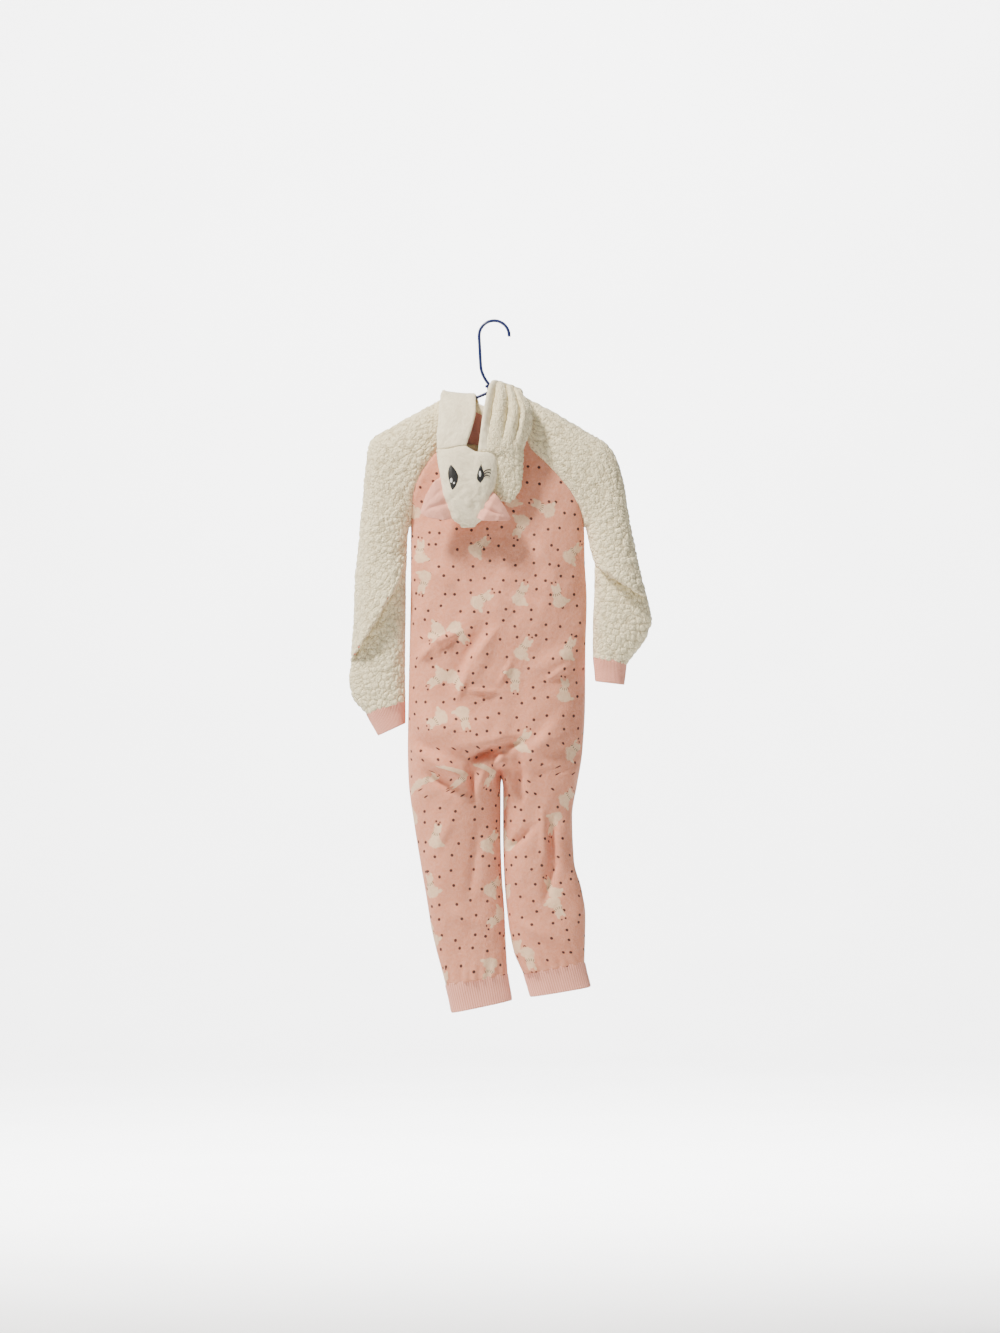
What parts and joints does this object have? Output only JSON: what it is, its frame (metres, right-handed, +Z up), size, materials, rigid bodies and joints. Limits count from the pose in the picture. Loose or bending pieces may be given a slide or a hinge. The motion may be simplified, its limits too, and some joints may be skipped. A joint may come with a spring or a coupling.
{
  "type": "hooded onesie on a wire hanger",
  "caption": "Child's hooded animal onesie in printed fleece with sherpa raglan sleeves, hood hanging down the back, on a wire hanger.",
  "frame": {"origin": "underside of the hanger hook's bend, where a rail holds it", "axes": "+Z up along the hanging garment; the garment's back faces -Y and its zipped front faces +Y; the back view has -X at its left"},
  "size_m": [0.4534, 0.1232, 1.0396],
  "materials": {
    "fleece": "napped pink fleece with a small dark dot and pale animal print",
    "sherpa": "curly cream sherpa pile",
    "plush": "short cream plush",
    "rib": "pink rib knit",
    "lining": "smooth pink fleece lining",
    "ear": "pink short plush",
    "tape": "woven pink zip tape",
    "zip_metal": "satin nickel",
    "wire": "dark blue plastic coating over steel wire"
  },
  "bodies": {
    "garment": {"back": "fleece", "front_left": "fleece", "front_right": "fleece", "zip_tape": "tape", "zip_slider": "zip_metal", "sleeve_left": "sherpa", "sleeve_right": "sherpa", "wrist_cuff_left": "rib", "wrist_cuff_right": "rib", "ankle_cuff_left": "rib", "ankle_cuff_right": "rib", "hood_left": "plush", "hood_right": "sherpa", "hood_face": "plush", "hood_lining": "lining", "ear_left": "ear", "ear_right": "ear", "hanger": "wire"},
    "pull": {"zip_pull": "zip_metal"}
  },
  "joints": [
    {"name": "pull_swing", "type": "hinge", "parent": "garment", "child": "pull", "pos_m": [-0.00755, 0.02776, -0.186], "axis": [1, 0, 0], "range_deg": [0, 170]}
  ]
}
